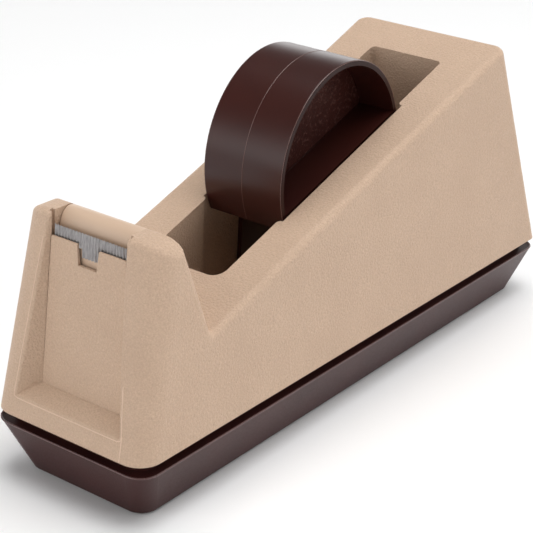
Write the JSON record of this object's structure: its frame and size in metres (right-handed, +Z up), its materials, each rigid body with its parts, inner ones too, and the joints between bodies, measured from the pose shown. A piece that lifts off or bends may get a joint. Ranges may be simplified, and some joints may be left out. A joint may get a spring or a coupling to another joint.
{
  "type": "tape dispenser",
  "caption": "Heavy desk tape dispenser: wedge-shaped beige housing on a brown base tray, half-drum hub for wide-core tape and a ribbed cutter at the front.",
  "frame": {"origin": "centre of the bounding box's bottom face, on the table under the rubber pad", "axes": "+Z up, +X from the cutter towards the tall rear end, +Y across the width. The mid-plane is y = 0."},
  "size_m": [0.2682, 0.0694, 0.1297],
  "materials": {
    "beige_plastic": "beige moulded plastic with a fine pebbled grain",
    "smooth_beige_plastic": "smooth satin beige moulded plastic",
    "brown_plastic": "smooth semi-gloss dark brown plastic",
    "hub_plastic": "smooth semi-gloss dark brown plastic with a stippled web",
    "blade_steel": "corrugated pressed steel",
    "screw_steel": "zinc-plated steel",
    "pad_rubber": "matt non-slip foam rubber",
    "ballast_stone": "rough cast cement ballast"
  },
  "bodies": {
    "dispenser": {"housing": "beige_plastic", "front_panel": "beige_plastic", "landing_bar": "smooth_beige_plastic", "cutter_blade": "blade_steel", "bar_screws": "screw_steel", "base_tray": "brown_plastic", "base_screws": "screw_steel", "non_slip_pad": "pad_rubber", "ballast_slab": "ballast_stone", "ballast_rear": "ballast_stone", "ballast_front": "ballast_stone"},
    "hub": {"hub_half_right": "hub_plastic", "hub_half_left": "hub_plastic"}
  },
  "joints": [
    {"name": "hub_lift", "type": "slide", "parent": "dispenser", "child": "hub", "axis": [0, 0, 1], "range_m": [0, 0.1]}
  ]
}
